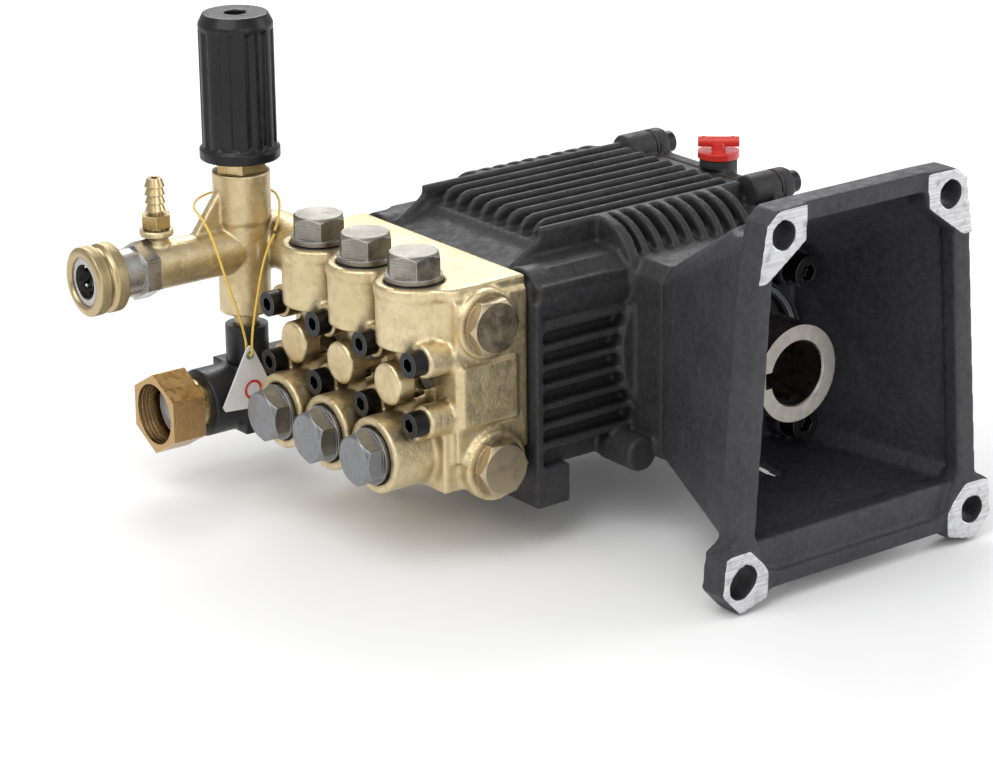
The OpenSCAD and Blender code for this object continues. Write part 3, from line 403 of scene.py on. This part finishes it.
slot_of = {row["node"]: row["material_slot"] for row in frame["record"]["subparts"]}
body_of = {n: b for b, names in frame["record"]["behaviour"]["bodies"].items() for n in names}
SPECIAL = {"gallery_plugs": "gallery", "swivel_nut": "nut_brass", "coupler_body": "hex_steel",
           "coupler_sleeve": "sleeve_brass", "unloader_piston": "steel"}


def dress(obj, material):
    obj.data.materials.clear()
    obj.data.materials.append(material)


for name, obj in nodes.items():
    material = MATERIALS[SPECIAL.get(name, slot_of[name])]
    if not obj.material_slots:
        obj.data.materials.append(material)
    for slot in obj.material_slots:
        slot.material = material


# ---------------------------------------------------------------- pieces
def new_object(name, bm, smooth=True):
    mesh = bpy.data.meshes.new(name)
    bm.to_mesh(mesh)
    bm.free()
    obj = bpy.data.objects.new(name, mesh)
    scene.collection.objects.link(obj)
    if smooth:
        mesh.polygons.foreach_set("use_smooth", [True] * len(mesh.polygons))
    return obj


def register(obj, body, slot, *replaced):
    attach(obj, body)
    if replaced:
        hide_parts(*replaced)
    return obj


def bake_modifiers(obj):
    graph = bpy.context.evaluated_depsgraph_get()
    mesh = bpy.data.meshes.new_from_object(obj.evaluated_get(graph))
    obj.modifiers.clear()
    obj.data = mesh
    mesh.polygons.foreach_set("use_smooth", [True] * len(mesh.polygons))


def casting(node, voxel, passes, keep, material=None):
    """The node's own solid, remeshed and relaxed so that its edges and inner corners take cast fillets."""
    bm = bmesh.new()
    bm.from_mesh(nodes[node].data)
    bmesh.ops.remove_doubles(bm, verts=bm.verts, dist=2e-6)
    obj = new_object(node + "_cast", bm)
    remesh = obj.modifiers.new("remesh", "REMESH")
    remesh.mode = "VOXEL"
    remesh.voxel_size = voxel
    relax = obj.modifiers.new("relax", "SMOOTH")
    relax.factor = 0.5
    relax.iterations = passes
    if keep < 1:
        thin = obj.modifiers.new("thin", "DECIMATE")
        thin.ratio = keep
    bake_modifiers(obj)
    dress(obj, material or MATERIALS[slot_of[node]])
    return register(obj, body_of[node], slot_of[node], node)


def relieve_bores(obj, names, reach, depth):
    """Sink the relaxed walls round the crossheads by a hair, so that rounding never narrows a bore."""
    mesh = obj.data
    spots, normals = np.empty((len(mesh.vertices), 3)), np.empty((len(mesh.vertices), 3))
    mesh.vertices.foreach_get("co", spots.ravel())
    mesh.vertices.foreach_get("normal", normals.ravel())
    near = np.zeros(len(spots), dtype=bool)
    for name in names:
        lo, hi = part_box(name)
        radius = np.hypot(spots[:, 1] - (lo.y + hi.y) / 2, spots[:, 2] - (lo.z + hi.z) / 2)
        along = (spots[:, 0] > lo.x - STROKE) & (spots[:, 0] < hi.x + STROKE)
        near |= along & (radius < (hi.z - lo.z) / 2 + reach)
    spots[near] -= normals[near] * depth
    mesh.vertices.foreach_set("co", spots.ravel())
    mesh.update()


case = casting("crankcase", 0.0009, 4, 0.35)
relieve_bores(case, ["crosshead_1", "crosshead_2", "crosshead_3"], 0.0012, 0.0011)
casting("bell_housing", 0.0009, 4, 0.35)
casting("manifold", 0.0008, 6, 0.40)
casting("unloader_body", 0.0006, 6, 0.40)
casting("unloader_knob", 0.0005, 4, 0.40)
casting("inlet_elbow", 0.0007, 5, 0.40)
casting("rear_cover", 0.0009, 4, 0.40)

# ---------------------------------------------------------------- knurled sleeve and tag eyelet
def lathe(name, rows, steps, place):
    """Closed ring mesh: place(row, angle) gives each vertex, and the last row joins the first."""
    bm = bmesh.new()
    grid = [[bm.verts.new(place(row, 2 * math.pi * k / steps)) for k in range(steps)] for row in rows]
    for i, ring in enumerate(grid):
        after = grid[(i + 1) % len(grid)]
        for k in range(steps):
            m = (k + 1) % steps
            bm.faces.new((ring[k], ring[m], after[m], after[k]))
    bmesh.ops.recalc_face_normals(bm, faces=bm.faces)
    return new_object(name, bm)


def coupler_sleeve():
    """The outlet's sleeve with two bands of cut diamond knurling and a groove between them."""
    verts = [v.co for v in nodes["coupler_sleeve"].data.vertices]
    face = min(v.x for v in verts)
    top, low = max(v.z for v in verts), min(v.z for v in verts)
    left, right = min(v.y for v in verts), max(v.y for v in verts)
    crest, mid_z, mid_y = (top - low) / 2, (top + low) / 2, (left + right) / 2
    shoulder, groove, bore = crest - 0.0003, crest - 0.0013, 0.0099
    teeth, cut, land = 44, 0.00045, 0.7
    pitch = teeth / crest
    plain, knurl = False, True

    def band(start, length=0.0042, cuts=18):
        return [(start + length * k / cuts, crest, knurl) for k in range(cuts + 1)]

    # distance from the face, radius and finish of each ring, from the bore round to the bore again
    rows = [(0.0, bore, plain), (0.0, crest - 0.0022, plain), (0.0002, crest - 0.0014, plain),
            (0.0007, shoulder, plain), *band(0.0009), (0.0054, shoulder, plain), (0.0056, groove, plain),
            (0.0084, groove, plain), (0.0086, shoulder, plain), *band(0.0089), (0.0134, shoulder, plain),
            (0.0136, groove, plain), (0.0140, groove - 0.0003, plain), (0.0140, bore, plain)]

    def place(row, angle):
        x, radius, finish = row
        if finish == knurl:
            left_hand = abs(math.sin(teeth * angle + pitch * x))
            right_hand = abs(math.sin(teeth * angle - pitch * x))
            radius -= cut * (1 - min(1.0, min(left_hand, right_hand) / land))
        return face + x, mid_y + radius * math.cos(angle), mid_z + radius * math.sin(angle)

    obj = lathe("sleeve_knurl", rows, 8 * teeth, place)
    dress(obj, MATERIALS["sleeve_brass"])
    register(obj, body_of["coupler_sleeve"], slot_of["coupler_sleeve"], "coupler_sleeve")


def tag_eyelet():
    """A pressed metal ring in the tag's hole, an oval section swept round the string."""
    centre = Vector((-0.1236, 0.2276, -0.0167))
    ring_radius, half_width, half_depth = 0.00150, 0.00034, 0.00062
    rows = [2 * math.pi * k / 12 for k in range(12)]

    def place(turn, angle):
        radius = ring_radius + half_width * math.cos(turn)
        return (centre.x + radius * math.cos(angle), centre.y + half_depth * math.sin(turn),
                centre.z + radius * math.sin(angle))

    obj = lathe("tag_eyelet", rows, 40, place)
    dress(obj, moulded("m_eyelet", (0.03, 0.16, 0.07), (0.05, 0.24, 0.11), 0.25, 0.4))
    register(obj, body_of["tag"], slot_of["tag"])


coupler_sleeve()
tag_eyelet()

# ---------------------------------------------------------------- tag string
ROUTE = [
    (-109, 228.6, 31), (-113, 227.6, 26), (-116.5, 227, 18), (-119, 226.6, 9), (-121.4, 226.1, 0),
    (-123, 225.6, -7), (-123.6, 225.45, -12.5), (-123.6, 225.45, -14.55), (-123.6, 225.74, -15.63),
    (-123.6, 226.53, -16.41), (-123.6, 227.6, -16.7), (-123.6, 228.67, -16.41), (-123.6, 229.46, -15.63),
    (-123.6, 229.75, -14.55), (-123.6, 229.75, -12.5), (-124.2, 229.7, -9), (-126, 229.6, -2),
    (-128.4, 229.8, 6), (-130.8, 230.2, 14), (-133, 230.9, 22), (-134.8, 232.2, 30),
    (-135.8, 235, 36), (-136, 239, 39.6), (-135.4, 243, 41.2), (-134.4, 247, 41.8),
    (-132.2, 251, 42.2), (-128.6, 255, 42.8), (-124, 257.6, 43.2), (-118, 258.8, 43.6),
    (-111, 258, 44), (-105, 255, 44.4), (-101, 250, 44.6), (-99.6, 244, 44.2),
    (-100.4, 238, 42.6), (-103, 233.4, 39.6), (-106.2, 230.2, 35.4), (-108.6, 228.8, 32.6),
]
MM = 1000
route = [Vector(p) / MM for p in ROUTE]
curve = bpy.data.curves.new("tag_cord", "CURVE")
curve.dimensions = "3D"
curve.bevel_depth = 0.0005
curve.bevel_resolution = 4
curve.resolution_u = 6
curve.use_fill_caps = True
spline = curve.splines.new("BEZIER")
spline.bezier_points.add(len(route) - 1)
for point, place in zip(spline.bezier_points, route):
    point.co = place
    point.handle_left_type = point.handle_right_type = "AUTO"
cord = bpy.data.objects.new("tag_cord", curve)
scene.collection.objects.link(cord)
curve.materials.append(MATERIALS["string"])
register(cord, "pump", "string", "tag_string")

# ---------------------------------------------------------------- studio
FLOOR_GAP = 0.0005
bm = bmesh.new()
bmesh.ops.create_grid(bm, x_segments=1, y_segments=1, size=15.0)
floor = new_object("floor", bm, smooth=False)
floor.location = (0, 0, cad_box[0].z - FLOOR_GAP)
s = Shader("m_floor")
tone = s.mix(s.ramp(s.noise(3, 3), 0.0, 1.0), (0.90, 0.90, 0.90), (0.93, 0.93, 0.93))
dress(floor, s.finish(tone, 0.9))

world = bpy.data.worlds.new("studio")
scene.world = world
world.use_nodes = True
world.node_tree.nodes["Background"].inputs["Color"].default_value = (1, 1, 1, 1)
world.node_tree.nodes["Background"].inputs["Strength"].default_value = 0.55

CENTRE = Vector((-0.06, 0.11, 0.0))


def softbox(name, place, size, watts, tint=(1, 1, 1)):
    light = bpy.data.lights.new(name, "AREA")
    light.shape = "RECTANGLE"
    light.size, light.size_y = size
    light.energy = watts
    light.color = tint
    obj = bpy.data.objects.new(name, light)
    obj.location = place
    obj.rotation_euler = (CENTRE - Vector(place)).to_track_quat("-Z", "Y").to_euler()
    scene.collection.objects.link(obj)


softbox("key", (-0.9, -0.1, 1.1), (1.3, 1.3), 13)
softbox("front", (-0.3, -1.3, 0.5), (1.1, 0.7), 5)
softbox("rim", (0.6, 1.1, 0.9), (0.9, 0.6), 9)
softbox("side", (1.1, -0.5, 0.4), (0.7, 0.9), 4)
